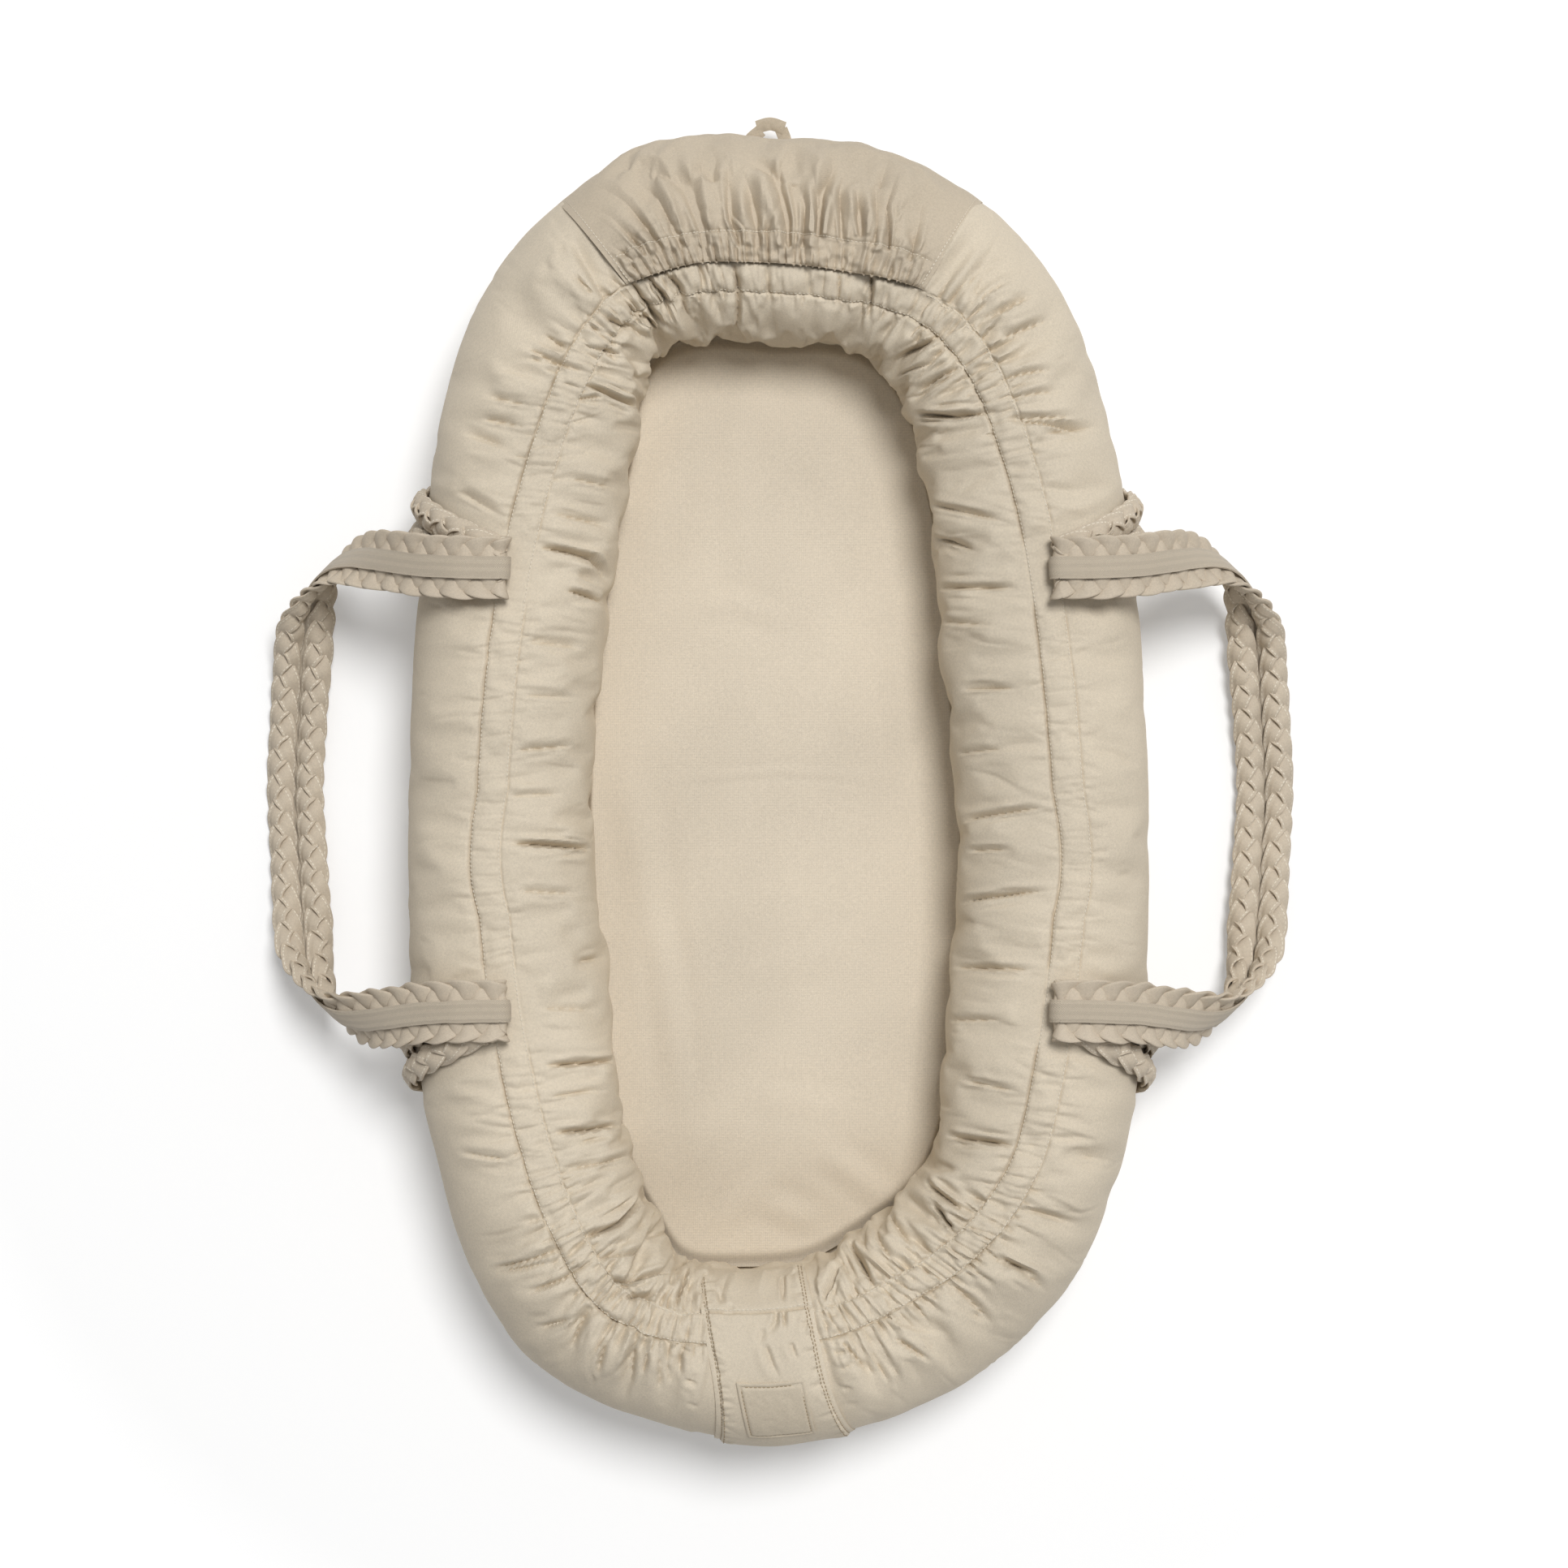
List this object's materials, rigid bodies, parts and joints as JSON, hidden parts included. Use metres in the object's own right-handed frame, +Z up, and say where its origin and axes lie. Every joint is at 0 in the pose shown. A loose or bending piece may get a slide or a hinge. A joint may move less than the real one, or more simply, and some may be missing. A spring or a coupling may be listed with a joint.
{
  "type": "infant lounger",
  "caption": "Padded oval infant nest: stuffed bumper ring with a stitched casing round a thin mattress, a gathered head pocket, a foot band and two braided carrying handles.",
  "frame": {"origin": "middle of the flat underside", "axes": "+Z up out of the nest, +Y along its length towards the head end with the pocket, +X to the right seen from above"},
  "size_m": [0.7275, 0.9162, 0.1473],
  "materials": {
    "cover_cloth": "cotton sateen, soft sheen",
    "floor_cloth": "plain woven cotton, matte",
    "braid_cloth": "folded cotton sateen strips, plaited",
    "tape": "herringbone cotton tape, matte",
    "patch_cloth": "stitched cotton patch, matte",
    "filling": "loose polyester fibre",
    "mattress_foam": "needled wadding",
    "elastic": "woven elastic, matte"
  },
  "bodies": {
    "nest": {"base_panel": "cover_cloth", "mattress_core": "mattress_foam", "floor_panel": "floor_cloth", "bumper_filling": "filling", "outer_cover": "cover_cloth", "inner_cover": "cover_cloth", "casing_backing": "floor_cloth", "casing_elastic": "elastic", "head_pocket": "cover_cloth", "pocket_elastic": "elastic", "foot_band": "cover_cloth", "patch": "patch_cloth", "left_head_anchor_outer_braid": "braid_cloth", "left_head_anchor_inner_braid": "braid_cloth", "left_head_anchor_tape": "tape", "left_foot_anchor_outer_braid": "braid_cloth", "left_foot_anchor_inner_braid": "braid_cloth", "left_foot_anchor_tape": "tape", "right_head_anchor_outer_braid": "braid_cloth", "right_head_anchor_inner_braid": "braid_cloth", "right_head_anchor_tape": "tape", "right_foot_anchor_outer_braid": "braid_cloth", "right_foot_anchor_inner_braid": "braid_cloth", "right_foot_anchor_tape": "tape"},
    "left_handle": {"left_handle_outer_braid": "braid_cloth", "left_handle_inner_braid": "braid_cloth", "left_handle_tape": "tape"},
    "right_handle": {"right_handle_outer_braid": "braid_cloth", "right_handle_inner_braid": "braid_cloth", "right_handle_tape": "tape"},
    "hang_loop": {"hang_loop": "cover_cloth"}
  },
  "joints": [
    {"name": "left_handle_lift", "type": "hinge", "parent": "nest", "child": "left_handle", "pos_m": [-0.1828, 0, 0.13945], "axis": [0, 1, 0], "range_deg": [0, 150]},
    {"name": "right_handle_lift", "type": "hinge", "parent": "nest", "child": "right_handle", "pos_m": [0.1845, 0, 0.13945], "axis": [0, -1, 0], "range_deg": [0, 150]},
    {"name": "hang_loop_swing", "type": "hinge", "parent": "nest", "child": "hang_loop", "pos_m": [-0.0097, 0.4402, 0.014], "axis": [1, 0, 0], "range_deg": [-40, 30]}
  ]
}
